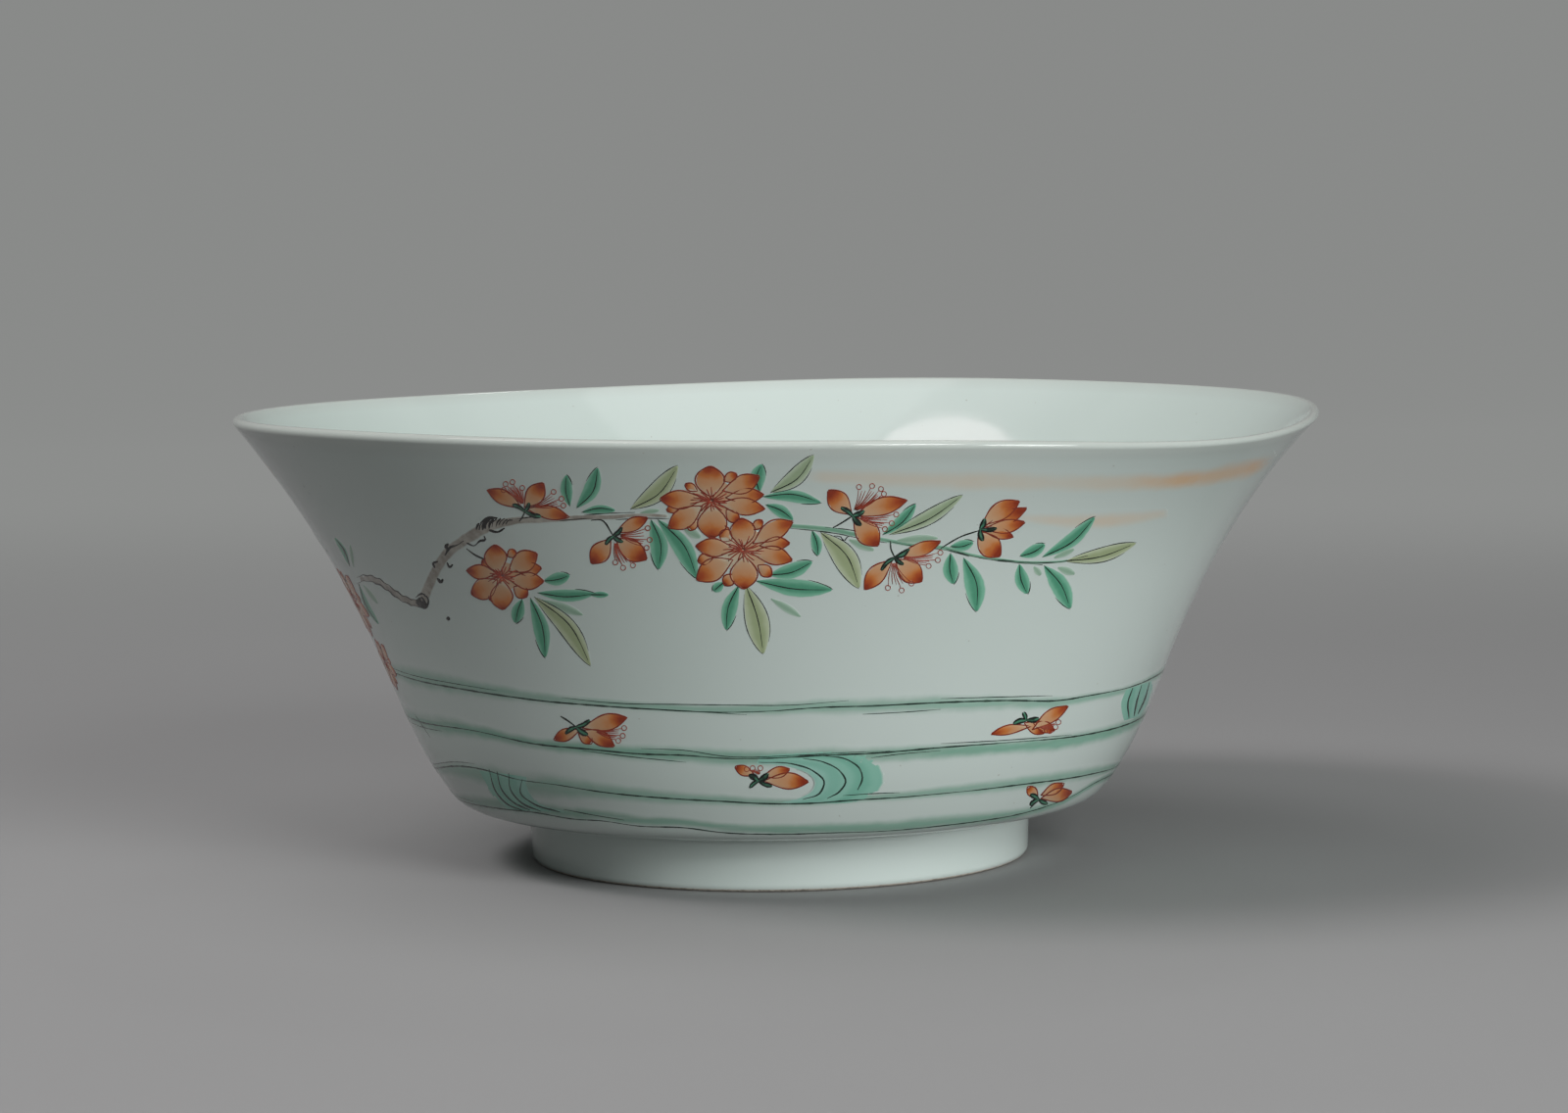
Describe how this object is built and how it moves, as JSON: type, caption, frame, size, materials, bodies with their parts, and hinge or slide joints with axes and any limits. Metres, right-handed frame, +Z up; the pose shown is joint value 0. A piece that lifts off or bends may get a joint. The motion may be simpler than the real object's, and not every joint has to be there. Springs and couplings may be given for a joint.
{
  "type": "porcelain bowl",
  "caption": "Deep round porcelain bowl with a flared rim, a rounded hip and a low turned foot ring, painted outside with a blossoming branch above bands of flowing water.",
  "frame": {"origin": "middle of the plane that the foot ring stands on", "axes": "+Z up along the bowl's axis of revolution; -Y towards the side that the picture shows, +X to its right"},
  "size_m": [0.2, 0.2, 0.0836],
  "materials": {
    "glazed_porcelain": "clear, slightly green gloss glaze over white porcelain",
    "foot_porcelain": "gloss glaze, bare white biscuit on the standing edge",
    "iron_red_enamel": "thin gloss enamel, washed from pale orange to deep orange-red",
    "green_enamel": "clear gloss enamel, slightly raised",
    "aubergine_enamel": "thin grey-mauve gloss enamel",
    "black_line_enamel": "fine drawn lines under a thin gloss enamel"
  },
  "bodies": {
    "root": {"bowl_body": "glazed_porcelain", "foot_ring": "foot_porcelain"}
  },
  "joints": []
}
